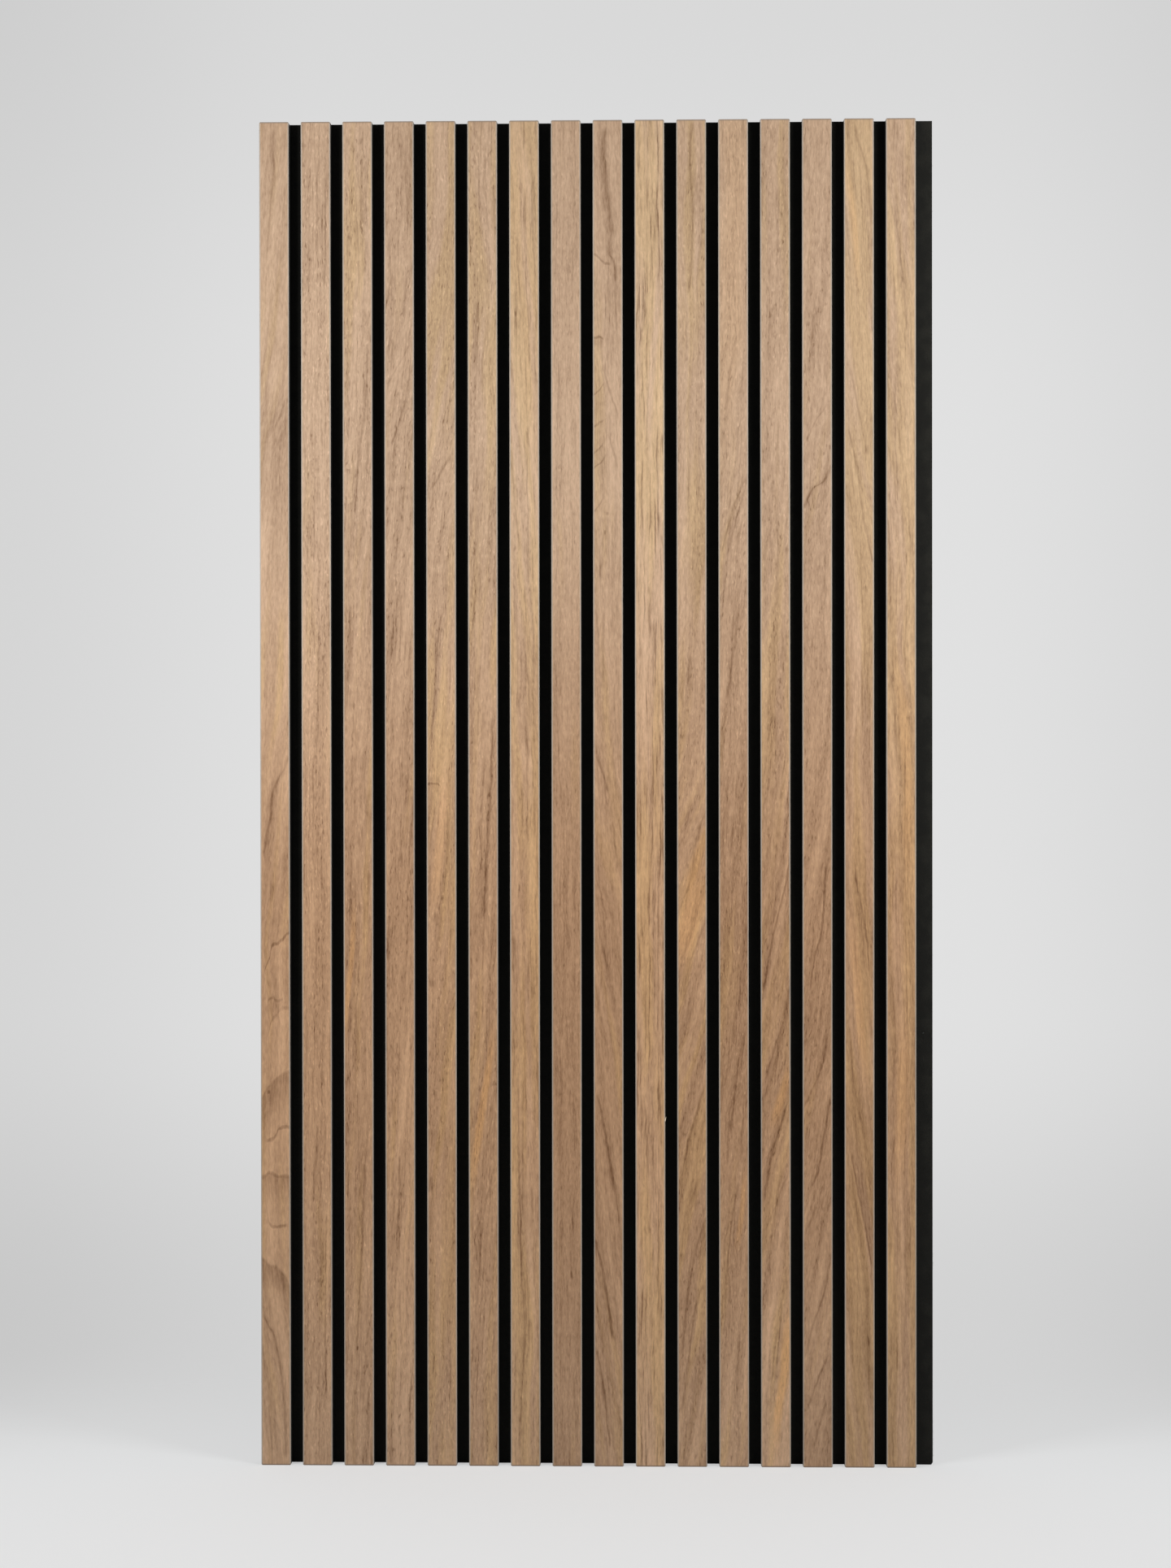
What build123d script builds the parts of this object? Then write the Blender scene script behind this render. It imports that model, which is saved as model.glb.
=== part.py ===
"""Slatted acoustic wall panel: veneered MDF slats glued and stapled to a board of black felt.

The panel stands upright. X runs along its width, +Y points back to the wall and +Z points up.
The origin is at the foot of the panel, in the middle of its width and of its thickness.
All sizes are in millimetres.
"""

import os

from build123d import *

# The slats stand in one row across the felt. The first is flush with the felt's left edge.
slat_count = 16
slat_width = 26.4
slat_gap = 10.8
bare_strip = 15.6
panel_height = 1200.0

# Each slat is a strip of MDF with a leaf of walnut veneer glued on its front. Sanding has taken the
# points off its four corners and eased the front edge of the leaf.
core_thickness = 11.4
veneer_thickness = 0.6
veneer_ease = 0.35
corner_cut = 0.9

# The backing is one board of needled polyester felt. Its lower right corner is worn off.
felt_thickness = 9.0
worn_corner_width = 1.4
worn_corner_height = 2.2

# Wire staples come through the felt from behind and bite into the slats.
staple_rows = 4
staple_end_margin = 80.0
crown_width = 10.0
wire_width = 1.2
wire_thickness = 1.0
bend_radius = 0.8
crown_sink = 0.3
leg_bite = 5.5
leg_point = 1.2
leg_clearance = 0.1
leg_tip_clearance = 0.5

panel_width = slat_count * slat_width + (slat_count - 1) * slat_gap + bare_strip
panel_thickness = felt_thickness + core_thickness + veneer_thickness
back_y = panel_thickness / 2
felt_front_y = back_y - felt_thickness
core_front_y = felt_front_y - core_thickness
left_x = -panel_width / 2
slat_pitch = slat_width + slat_gap
slat_centres = [left_x + slat_width / 2 + number * slat_pitch for number in range(slat_count)]

staple_pitch = (panel_height - 2 * staple_end_margin) / (staple_rows - 1)
staple_heights = [staple_end_margin + row * staple_pitch for row in range(staple_rows)]
leg_offset = (crown_width - wire_thickness) / 2
leg_length = felt_thickness - crown_sink + leg_bite
hole_width = wire_thickness + 2 * leg_clearance
hole_height = wire_width + 2 * leg_clearance

# Each plane faces forwards, with its own X along the width and its own Y upwards.
back_plane = Plane(origin=(0, back_y, 0), x_dir=(1, 0, 0), z_dir=(0, -1, 0))
felt_front_plane = Plane(origin=(0, felt_front_y, 0), x_dir=(1, 0, 0), z_dir=(0, -1, 0))
core_front_plane = Plane(origin=(0, core_front_y, 0), x_dir=(1, 0, 0), z_dir=(0, -1, 0))

os.makedirs("parts", exist_ok=True)


def write_piece(piece, name):
    """Labels a finished piece with its own name and writes it to its own file."""
    piece.label = name
    export_step(piece, f"parts/{name}.step")


def leg_places(centres):
    """The middle of each staple leg, across and up, for the slats with these centres."""
    return [
        (centre + side * leg_offset, height)
        for centre in centres
        for height in staple_heights
        for side in (-1, 1)
    ]


# Felt board, cut square, with a pressed seat for each staple crown and a slit for each leg
with BuildPart() as felt_backing:
    with BuildSketch(back_plane) as felt_outline:
        with Locations((0, panel_height / 2)):
            Rectangle(panel_width, panel_height)
        with BuildLine() as worn_corner:
            Polyline(
                (panel_width / 2 - worn_corner_width, 0),
                (panel_width / 2, 0),
                (panel_width / 2, worn_corner_height),
                close=True,
            )
        make_face(mode=Mode.SUBTRACT)
    extrude(amount=felt_thickness)
    with BuildSketch(back_plane) as crown_seats:
        with Locations(*[(centre, height) for centre in slat_centres for height in staple_heights]):
            Rectangle(crown_width + 2 * leg_clearance, hole_height)
    extrude(amount=crown_sink + wire_thickness, mode=Mode.SUBTRACT, clean=False)
    with BuildSketch(back_plane) as leg_slits:
        with Locations(*leg_places(slat_centres)):
            Rectangle(hole_width, hole_height)
    extrude(amount=felt_thickness, mode=Mode.SUBTRACT, clean=False)
write_piece(felt_backing.part, "felt_backing")

# MDF strip, black on its sides and ends, with the bites of the staple legs in its back
with BuildPart() as slat_core:
    with BuildSketch(felt_front_plane) as core_face:
        with Locations((0, panel_height / 2)):
            Rectangle(slat_width, panel_height)
        chamfer(core_face.vertices(), length=corner_cut)
    extrude(amount=core_thickness)
    with BuildSketch(felt_front_plane) as leg_bites:
        with Locations(*leg_places([0])):
            Rectangle(hole_width, hole_height)
    extrude(amount=leg_bite + leg_tip_clearance, mode=Mode.SUBTRACT)

# Veneer leaf, as wide and as long as its strip, with its front edge sanded off all round
with BuildPart() as slat_veneer:
    with BuildSketch(core_front_plane) as veneer_face:
        with Locations((0, panel_height / 2)):
            Rectangle(slat_width, panel_height)
        chamfer(veneer_face.vertices(), length=corner_cut)
    extrude(amount=veneer_thickness)
    front_edges = slat_veneer.faces().sort_by(Axis.Y)[0].edges()
    chamfer(front_edges, length=veneer_ease)

# The same strip and leaf stand at every place in the row
for number, centre in enumerate(slat_centres, start=1):
    with BuildPart() as placed_core:
        with Locations((centre, 0, 0)):
            add(slat_core.part)
    write_piece(placed_core.part, f"slat_core_{number:02d}")
    with BuildPart() as placed_veneer:
        with Locations((centre, 0, 0)):
            add(slat_veneer.part)
    write_piece(placed_veneer.part, f"slat_veneer_{number:02d}")

# One staple, seen from above: crown at the back, two legs forwards, each cut to a point
with BuildSketch() as staple_profile:
    with BuildLine() as staple_outline:
        Polyline(
            (-crown_width / 2, 0),
            (crown_width / 2, 0),
            (crown_width / 2, -leg_length + leg_point),
            (crown_width / 2 - wire_thickness, -leg_length),
            (crown_width / 2 - wire_thickness, -wire_thickness),
            (-crown_width / 2 + wire_thickness, -wire_thickness),
            (-crown_width / 2 + wire_thickness, -leg_length),
            (-crown_width / 2, -leg_length + leg_point),
            close=True,
        )
    make_face()
    fillet(staple_profile.vertices().group_by(Axis.Y)[-1], radius=bend_radius)

# All the staples, one column behind each slat
staple_planes = [Plane.XY.offset(height - wire_width / 2) for height in staple_heights]
with BuildPart() as staples:
    with BuildSketch(*staple_planes) as staple_rows_sketch:
        with Locations(*[(centre, back_y - crown_sink) for centre in slat_centres]):
            add(staple_profile.sketch)
    extrude(amount=wire_width)
write_piece(staples.part, "staples")
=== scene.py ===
"""The slatted acoustic wall panel: walnut leaves on black slats, glued and stapled to black felt.

The panel stands upright on a pale floor. X runs along its width, +Y points back to the wall and
+Z points up. Lengths are in metres, apart from the walnut's grain, which is drawn in millimetres.
"""

import math
import random

import bmesh
import bpy
from mathutils import Matrix, Vector


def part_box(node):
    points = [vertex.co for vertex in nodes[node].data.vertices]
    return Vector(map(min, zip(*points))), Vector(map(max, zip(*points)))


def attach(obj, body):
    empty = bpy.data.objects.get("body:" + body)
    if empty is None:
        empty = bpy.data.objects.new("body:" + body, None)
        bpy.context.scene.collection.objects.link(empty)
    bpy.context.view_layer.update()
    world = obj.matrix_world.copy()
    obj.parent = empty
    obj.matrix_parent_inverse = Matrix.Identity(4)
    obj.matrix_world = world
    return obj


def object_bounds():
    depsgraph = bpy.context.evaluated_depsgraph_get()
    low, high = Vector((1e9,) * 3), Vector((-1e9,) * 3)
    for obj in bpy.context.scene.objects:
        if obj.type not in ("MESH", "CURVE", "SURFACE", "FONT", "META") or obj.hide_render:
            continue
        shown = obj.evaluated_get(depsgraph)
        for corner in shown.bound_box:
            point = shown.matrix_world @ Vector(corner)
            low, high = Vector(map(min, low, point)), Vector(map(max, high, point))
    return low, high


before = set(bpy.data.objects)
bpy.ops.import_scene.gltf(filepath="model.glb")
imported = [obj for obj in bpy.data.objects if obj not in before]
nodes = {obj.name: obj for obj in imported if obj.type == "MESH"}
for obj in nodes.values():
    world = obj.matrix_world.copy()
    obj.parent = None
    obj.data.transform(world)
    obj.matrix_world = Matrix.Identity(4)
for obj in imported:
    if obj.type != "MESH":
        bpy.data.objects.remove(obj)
cad_low, cad_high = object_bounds()
panel_height = cad_high.z - cad_low.z


# Studio
# The panel is photographed from the front on a pale sweep, a little right of its middle and at half
# its height. Two soft lamps stand in front of it, one on each side, level with its upper half.
camera_place = (0.0476, -2.5330, 0.6227)
camera_turn = (math.radians(89.69), math.radians(0.07), math.radians(1.295))
camera_lens = 65.0
lamp_side_angle = math.radians(50)
lamp_distance = 1.15
lamp_height = 0.97
lamp_size = 0.5
lamp_power = 9.0
floor_radius = 3.0
floor_sides = 96
floor_lit_centre = (0, -0.9, 0)
floor_fade = (1.0, 1.55)
floor_colour = (0.782, 0.796, 0.805, 1)
floor_glow = 1.0
floor_glow_share = 0.5
white = (1, 1, 1, 1)

# Between its first two numbers, which are headings, the sweep's light goes from one share to another.
sweep_light = 0.75
sweep_sides = (0.10, 0.24, 1.0, 0.885)
sweep_top = (0.12, 0.28, 1.0, 0.92)
sweep_bend = (-0.19, -0.08, 0.865, 1.0)
sweep_round = (0.91, 0.78)
sweep_round_share = 0.96
thrown_light = (0.0, 0.6, 0.11, 0.45)


def add_node(tree, kind, inputs=None, **options):
    """Adds a node, sets its options, and sets or links its inputs."""
    node = tree.nodes.new(kind)
    for name, value in options.items():
        setattr(node, name, value)
    for key, value in (inputs or {}).items():
        if isinstance(value, bpy.types.NodeSocket):
            tree.links.new(value, node.inputs[key])
        else:
            node.inputs[key].default_value = value
    return node


def math_step(tree, operation, *values):
    """One step of arithmetic on numbers or sockets."""
    return add_node(tree, "ShaderNodeMath", dict(enumerate(values)), operation=operation).outputs[0]


def ramp(tree, value, start, end, low=0.0, high=1.0):
    """Goes smoothly from low to high while the value goes from start to end."""
    inputs = {"Value": value, "From Min": start, "From Max": end, "To Min": low, "To Max": high}
    return add_node(tree, "ShaderNodeMapRange", inputs, interpolation_type="SMOOTHSTEP").outputs[0]


def new_material(name):
    """An empty node material, its tree, and the place in metres of what it covers."""
    material = bpy.data.materials.new(name)
    material.use_nodes = True
    tree = material.node_tree
    tree.nodes.clear()
    return material, tree, add_node(tree, "ShaderNodeTexCoord").outputs["Object"]


def set_surface(tree, shader):
    """Makes a shader the surface of its material."""
    add_node(tree, "ShaderNodeOutputMaterial", {"Surface": shader.outputs[0]})


def set_finish(tree, finish):
    """Gives a material a colour, a roughness and what else its finish has."""
    set_surface(tree, add_node(tree, "ShaderNodeBsdfPrincipled", finish))


def dress(piece, material):
    """Puts one material all over a piece."""
    piece.data.materials.clear()
    piece.data.materials.append(material)


camera = bpy.data.objects.new("camera", bpy.data.cameras.new("camera"))
camera.data.lens = camera_lens
camera.location = camera_place
camera.rotation_euler = camera_turn
bpy.context.scene.collection.objects.link(camera)
bpy.context.scene.camera = camera
bpy.context.scene.view_settings.view_transform = "Standard"

for side in (-1, 1):
    softbox = bpy.data.lights.new("softbox", "AREA")
    softbox.shape = "SQUARE"
    softbox.size = lamp_size
    softbox.energy = lamp_power
    lamp = bpy.data.objects.new("softbox", softbox)
    lamp.location = (
        side * lamp_distance * math.sin(lamp_side_angle),
        -lamp_distance * math.cos(lamp_side_angle),
        lamp_height,
    )
    towards_panel = Vector((0, 0, lamp_height)) - lamp.location
    lamp.rotation_euler = towards_panel.to_track_quat("-Z", "Y").to_euler()
    lamp.visible_camera = False
    bpy.context.scene.collection.objects.link(lamp)

# The sweep's far part is the world's own pale grey. Straight behind the panel it is brightest, and
# darker at the sides and in its bend; that darkening is painted shade on the sweep, and in the bend it
# is the panel's painted shadow. It throws less light than it shows, and the least from the front.
world = bpy.data.worlds.new("sweep")
world.use_nodes = True
world.node_tree.nodes.clear()
sky = world.node_tree
direction = add_node(sky, "ShaderNodeTexCoord").outputs["Generated"]
heading = add_node(sky, "ShaderNodeSeparateXYZ", {0: direction}).outputs
behind = ramp(sky, math_step(sky, "ABSOLUTE", heading["X"]), *sweep_sides)
behind = math_step(sky, "MULTIPLY", behind, ramp(sky, heading["Z"], *sweep_top))
# Painted shade: the sweep darkens in its bend behind the panel.
behind = math_step(sky, "MULTIPLY", behind, ramp(sky, heading["Z"], *sweep_bend))
away = ramp(sky, heading["Y"], *sweep_round)
glow = math_step(sky, "MULTIPLY", behind, math_step(sky, "SUBTRACT", 1.0, away))
glow = math_step(sky, "MULTIPLY_ADD", away, sweep_round_share, glow)
glow = math_step(sky, "MULTIPLY", glow, sweep_light)
path = add_node(sky, "ShaderNodeLightPath")
seen = math_step(sky, "MAXIMUM", path.outputs["Is Camera Ray"], path.outputs["Is Glossy Ray"])
seen = math_step(sky, "MAXIMUM", seen, path.outputs["Is Transmission Ray"])
thrown = ramp(sky, heading["Y"], *thrown_light)
pale = add_node(sky, "ShaderNodeBackground", {"Color": white, "Strength": glow})
dim = add_node(sky, "ShaderNodeBackground", {"Color": white, "Strength": thrown})
either = add_node(sky, "ShaderNodeMixShader", {0: seen, 1: dim.outputs[0], 2: pale.outputs[0]})
add_node(sky, "ShaderNodeOutputWorld", {"Surface": either.outputs[0]})
bpy.context.scene.world = world

# The floor is a round of the same paper, which passes into the far part of the sweep. Seen straight,
# it glows a little by itself, so that the panel's shade on it is soft.
bpy.ops.mesh.primitive_circle_add(
    vertices=floor_sides, radius=floor_radius, fill_type="NGON", location=(0, 0, cad_low.z)
)
floor = bpy.context.object
floor.name = "floor"
floor_material, paper, where = new_material("floor_paper")
reach = add_node(paper, "ShaderNodeVectorMath", {0: where, 1: floor_lit_centre}, operation="DISTANCE")
fade = ramp(paper, reach.outputs["Value"], *floor_fade)
matt = add_node(paper, "ShaderNodeBsdfDiffuse", {"Color": floor_colour})
glowing = add_node(paper, "ShaderNodeEmission", {"Color": white, "Strength": floor_glow})
straight = add_node(paper, "ShaderNodeLightPath").outputs["Is Camera Ray"]
own = math_step(paper, "MULTIPLY", straight, floor_glow_share)
lit = add_node(paper, "ShaderNodeMixShader", {0: own, 1: matt.outputs[0], 2: glowing.outputs[0]})
clear = add_node(paper, "ShaderNodeBsdfTransparent")
both = add_node(paper, "ShaderNodeMixShader", {0: fade, 1: lit.outputs[0], 2: clear.outputs[0]})
set_surface(paper, both)
dress(floor, floor_material)


# Felt backing
# One board of needled polyester felt, 9 mm thick, dyed black through and cut square with a knife.
# Its fibres lie flat and tangled. The bare strip is painted darker beside the last slat and lighter
# towards its cut edge, as painted shade.
felt_black = (0.0148, 0.0145, 0.0125, 1)
felt_lit = (0.026, 0.0250, 0.0205, 1)
tangles_per_metre = 1900
clouds_per_metre = 70
dimples_per_metre = 420
strip_painted_shade = 0.10

# Towards its foot the felt is painted a little darker, as painted shade: from and to which height, and
# by how much.
felt_foot_painted_shade = (0.75, 0.15, 0.0, -0.07)
slat_count = sum(name.startswith("slat_core_") for name in nodes)
strip_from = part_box(f"slat_core_{slat_count:02d}")[1].x


def noise(tree, vector, scale=1.0, detail=2.0, roughness=0.5, distortion=0.0):
    """A cloudy pattern between 0 and 1."""
    inputs = {"Vector": vector, "Scale": scale, "Detail": detail, "Roughness": roughness}
    inputs["Distortion"] = distortion
    return add_node(tree, "ShaderNodeTexNoise", inputs).outputs["Fac"]


def mix_colours(tree, share, first, second, blend="MIX"):
    """Blends two colours by a share of the second."""
    node = add_node(tree, "ShaderNodeMix", data_type="RGBA", blend_type=blend)
    for socket, value in zip((node.inputs[0], node.inputs[6], node.inputs[7]), (share, first, second)):
        if isinstance(value, bpy.types.NodeSocket):
            tree.links.new(value, socket)
        else:
            socket.default_value = value
    return node.outputs[2]


def felt_material():
    """Black needled felt: tangled fibres, needle dimples and a soft sheen."""
    material, tree, place = new_material("black_felt")
    tangle = noise(tree, place, scale=tangles_per_metre, detail=3, roughness=0.7, distortion=1.6)
    clouds = noise(tree, place, scale=clouds_per_metre, detail=3)
    dimples = add_node(tree, "ShaderNodeTexVoronoi", {"Vector": place, "Scale": dimples_per_metre})
    dimples = dimples.outputs["Distance"]
    share = math_step(tree, "MULTIPLY", tangle, ramp(tree, clouds, 0.3, 0.7, 0.5, 1.0))
    spot = add_node(tree, "ShaderNodeSeparateXYZ", {0: place}).outputs
    # Painted shade: the bare strip darkens towards the last slat beside it.
    strip_shade = ramp(tree, spot["X"], strip_from, cad_high.x, -strip_painted_shade, strip_painted_shade)
    share = math_step(tree, "ADD", share, strip_shade)
    # Painted shade: the felt darkens towards its foot.
    share = math_step(tree, "ADD", share, ramp(tree, spot["Z"], *felt_foot_painted_shade))
    colour = mix_colours(tree, ramp(tree, share, 0.25, 0.65), felt_black, felt_lit)
    relief = math_step(tree, "ADD", tangle, ramp(tree, dimples, 0.0, 0.45, 0.0, 0.5))
    bump = add_node(tree, "ShaderNodeBump", {"Height": relief, "Strength": 0.7, "Distance": 0.0004})
    set_finish(tree, {
        "Base Color": colour,
        "Roughness": 0.95,
        "Specular IOR Level": 0.15,
        "Sheen Weight": 0.08,
        "Sheen Roughness": 0.45,
        "Normal": bump.outputs[0],
    })
    return material


dress(nodes["felt_backing"], felt_material())


# Slat cores
# Each slat is a strip of MDF that is dyed black through, sawn to width and glued to the felt. Its
# sawn sides show the short flat flakes of the board.
mdf_black = (0.008, 0.0077, 0.0072, 1)
mdf_flake = (0.026, 0.0235, 0.021, 1)
flakes_per_metre = (700, 2600, 420)


def core_material():
    """Black MDF with its flakes lying flat, in the plane of the board."""
    material, tree, place = new_material("black_mdf")
    flat = add_node(tree, "ShaderNodeMapping", {"Vector": place, "Scale": flakes_per_metre})
    flakes = noise(tree, flat.outputs[0], detail=3, roughness=0.65)
    colour = mix_colours(tree, ramp(tree, flakes, 0.45, 0.75), mdf_black, mdf_flake)
    bump = add_node(tree, "ShaderNodeBump", {"Height": flakes, "Strength": 0.5, "Distance": 0.00015})
    set_finish(tree, {
        "Base Color": colour,
        "Roughness": 0.8,
        "Specular IOR Level": 0.3,
        "Normal": bump.outputs[0],
    })
    return material


black_mdf = core_material()
for number in range(1, slat_count + 1):
    dress(nodes[f"slat_core_{number:02d}"], black_mdf)


# Felt fuzz
# Loose ends of the felt's fibres stand out of its cut edges, most of all along the worn right edge,
# and lie curled on its back and on its bare strip. Each is a bent hair of black polyester.
hair_radius = 0.000035
hair_black = (0.030, 0.030, 0.028, 1)
dyes_per_metre = 500
hair_points = 4

# A hair lifts off the felt by so much against its sideways lean, and one that lies too flat is pushed
# outwards. It has some share of its patch's greatest length, and it bends and thins on its way.
hair_lift = (0.3, 1.0)
hair_least_lift = 0.1
hair_push = 0.6
hair_shares = (0.25, 1.0)
hair_bend = 0.8
hair_taper = 0.6

(left, front, _), (right, back, top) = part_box("felt_backing")
bare_from = strip_from + 0.001

# Each patch has its number of hairs, its two opposite corners, the way out of the felt, and the
# greatest length of a hair.
fuzz_patches = [
    (520, (right, front, 0.003), (right, back, top), (1, 0, 0), 0.0011),
    (140, (right, front, 0.003), (right, back, 0.040), (1, 0, 0), 0.0019),
    (50, (right, front, 0.176), (right, back, 0.190), (1, 0, 0), 0.0017),
    (420, (left, front, 0.003), (left, back, top), (-1, 0, 0), 0.0008),
    (420, (left, front, top), (right, back, top), (0, 0, 1), 0.0009),
    (160, (bare_from, front, 0.002), (right, front, top), (0, -1, 0), 0.0014),
    (1100, (left, back, 0.002), (right, back, top), (0, 1, 0), 0.0016),
]


def grow_hair(wire, chance, start, outward, length):
    """Adds one bent hair to the wire, from where it leaves the felt to its thin loose end."""
    heading = Vector(outward) * chance.uniform(*hair_lift)
    heading += Vector([chance.uniform(-1, 1) for _ in range(3)])
    if heading.dot(outward) < hair_least_lift:
        heading += Vector(outward) * hair_push
    heading.normalize()
    place = Vector(start)
    stride = length * chance.uniform(*hair_shares) / (hair_points - 1)
    spline = wire.splines.new("POLY")
    spline.points.add(hair_points - 1)
    for step, point in enumerate(spline.points):
        point.co = (place.x, place.y, max(place.z, hair_radius), 1)
        point.radius = 1.0 - hair_taper * step / hair_points
        place = place + heading * stride
        heading += Vector([chance.uniform(-hair_bend, hair_bend) for _ in range(3)])
        heading.normalize()


def wire_piece(wire, name):
    """Turns the wire's hairs into the mesh of one piece."""
    holder = bpy.data.objects.new(f"{name}_wire", wire)
    piece = bpy.data.objects.new(name, bpy.data.meshes.new_from_object(holder))
    bpy.data.objects.remove(holder)
    bpy.context.scene.collection.objects.link(piece)
    return piece


def new_wire(name, radius):
    """An empty wire of round hairs."""
    wire = bpy.data.curves.new(name, "CURVE")
    wire.dimensions = "3D"
    wire.bevel_depth = radius
    wire.bevel_resolution = 0
    return wire


def hair_material(name, colour):
    """Dull dyed fibre."""
    material, tree, place = new_material(name)
    dye = noise(tree, place, scale=dyes_per_metre)
    set_finish(tree, {
        "Base Color": mix_colours(tree, ramp(tree, dye, 0.3, 0.7), felt_black, colour),
        "Roughness": 0.8,
        "Specular IOR Level": 0.25,
    })
    return material


chance = random.Random(11)
fuzz_wire = new_wire("felt_fuzz", hair_radius)
for hairs, first, last, outward, length in fuzz_patches:
    for _ in range(hairs):
        start = [chance.uniform(low, high) for low, high in zip(first, last)]
        grow_hair(fuzz_wire, chance, start, outward, length)
felt_fuzz = wire_piece(fuzz_wire, "felt_fuzz")
dress(felt_fuzz, hair_material("black_fibre", hair_black))
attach(felt_fuzz, "root")


# Lint
# One pale curl of lint has caught on the bare strip of felt, a third of the way up. It is a few grey
# fibres from cloth, thicker than the felt's own.
lint_place = (0.2919, front, 0.386)
lint_hairs = 5
lint_radius = 0.00009
lint_length = 0.0017
lint_grey = (0.30, 0.32, 0.32, 1)

lint_wire = new_wire("lint", lint_radius)
for _ in range(lint_hairs):
    grow_hair(lint_wire, chance, lint_place, (0, -1, 0), lint_length)
lint = wire_piece(lint_wire, "lint")
dress(lint, hair_material("grey_lint", lint_grey))
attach(lint, "root")


# Walnut leaves
# A leaf of sliced walnut, 0.6 mm thick, is glued on the front of each slat and sanded. No two leaves
# are alike: each has its own tone and course of grain, and the marks that a joiner would know it by.
# Across is measured from the slat's middle and height from its foot, both in mm.
pale_wood = (0.782, 0.552, 0.358, 1)
dark_wood = (0.19, 0.098, 0.045, 1)
ochre_wood = (0.780, 0.543, 0.308, 1)
rose_wood = (0.753, 0.5255, 0.360, 1)
amber_wood = (0.90, 0.560, 0.270, 1)
# Painted highlight: the pale grey of the arrises.
painted_arris_highlight = (0.46, 0.415, 0.355, 1)
# Painted light: the warmer, darker tint of the lower leaf.
painted_lower_light_tint = (0.940, 0.814, 0.690, 1)
mm_per_metre = 1000

# The patterns of the wood. Each has a number that sets it apart, its width across the leaf and its
# length up the leaf, in mm, and its detail and roughness. The shift sets one leaf apart from the next.
grain_patterns = {
    "wander": (1.1, 40, 110, 1, 0.5),
    "ripple": (2.2, 4, 11, 2, 0.5),
    "waves": (5.1, 6, 12, 2, 0.5),
    "bands": (3.3, 6.5, 200, 1, 0.5),
    "blotch": (7.7, 10, 34, 2, 0.5),
    "hue": (8.8, 12, 200, 1, 0.5),
    "lines": (4.4, 1.7, 45, 2, 0.55),
    "fibres": (5.5, 1.4, 7, 2, 0.6),
    "pores": (6.6, 1.2, 6, 1, 0.5),
    "flecks": (9.9, 1.4, 5, 1, 0.5),
}
leaf_shift = 7.3

# How far, in mm, three of the patterns push the others about, and how much of the leaf's course and
# wander the threads of the wood follow.
sway_reaches = {"wander": 7.0, "ripple": 1.0, "waves": 3.0}
thread_share = 0.4

# How much each pattern, and the painted shade at the leaf's middle, darkens the wood at most. The flecks
# pale it.
band_depth = 0.195
line_depth = 0.13
line_core_depth = 0.14
fibre_depth = 0.29
blotch_depth = 0.11
ring_depth = 0.15
pore_depth = 0.29
fleck_paleness = 0.20
middle_shade_depth = 0.035

# How much of the streaks and of the drawn lines shows on the leaf's upper part, how much more on its
# lower part, and how much coarser the fibres are there.
mark_share = 0.55
lower_mark_share = 0.25
drawn_share = 0.65
lower_drawn_share = 0.15
lower_coarseness = 0.16

# The leaf's middle is painted a little darker, as painted shade: the height of that, and how far up and
# down it reaches.
middle_shade_part = (600, 350)

# Where something comes on, from and to: a height in mm, or a level of a pattern. Where there are four
# numbers, the last two are how strong it is at either end.
lower_part = (1000, 500)
tone_part = (300, 950)
warm_part = (950, 450)
warm_foot = (-300, 330)
line_core = (0.52, 0.70)
pore_core = (0.56, 0.74)
pore_crowds = (0.35, 0.62, 0.35, 1.0)
fleck_core = (0.60, 0.78)
mark_breaks = (0.25, 0.65, 0.5, 1.2)

# A growth ring's width in mm, its sway in rings, where in the ring the dark starts and is deepest, and
# how much of the rings shows as the wood turns from rose to ochre.
ring_width = 7.5
ring_sway = 1.4
ring_start = 0.2
ring_edge = 0.92
ring_hues = (0.35, 0.6, 0.3, 1.0)

# The drawn lines. A bar is flat over a share of its reach. A thread is softened, has a shade some times
# as wide, and fades towards its ends. An arch fades in from a little beyond its first point to a little
# within it, and the tone under it is full at a share of its depth.
course_step = 25.0
bar_flat = 0.25
thread_softness = 1.4
thread_shade = 4
thread_end = 8
arch_over = 1
arch_end = 1.5
arch_under = 0.1

# How the colours are mixed, and where the painted highlight lies on the arrises, the ends are darker and
# painted shade lies along the foot, in mm from the outline.
tint_share = 0.8
ochre_from = 0.60
ochre_reach = 0.34
ochre_fade = 0.22
amber_clearness = 0.25
arris_corner = 1.2
arris_part = (-1.5, -0.5, 0.0, 0.8)
end_part = (-1.9, -0.5, 0.0, 0.5)
foot_part = (1.2, 0.3, 0.0, 0.6)
gloss_part = (0.3, 0.7, 0.52, 0.66)

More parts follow.
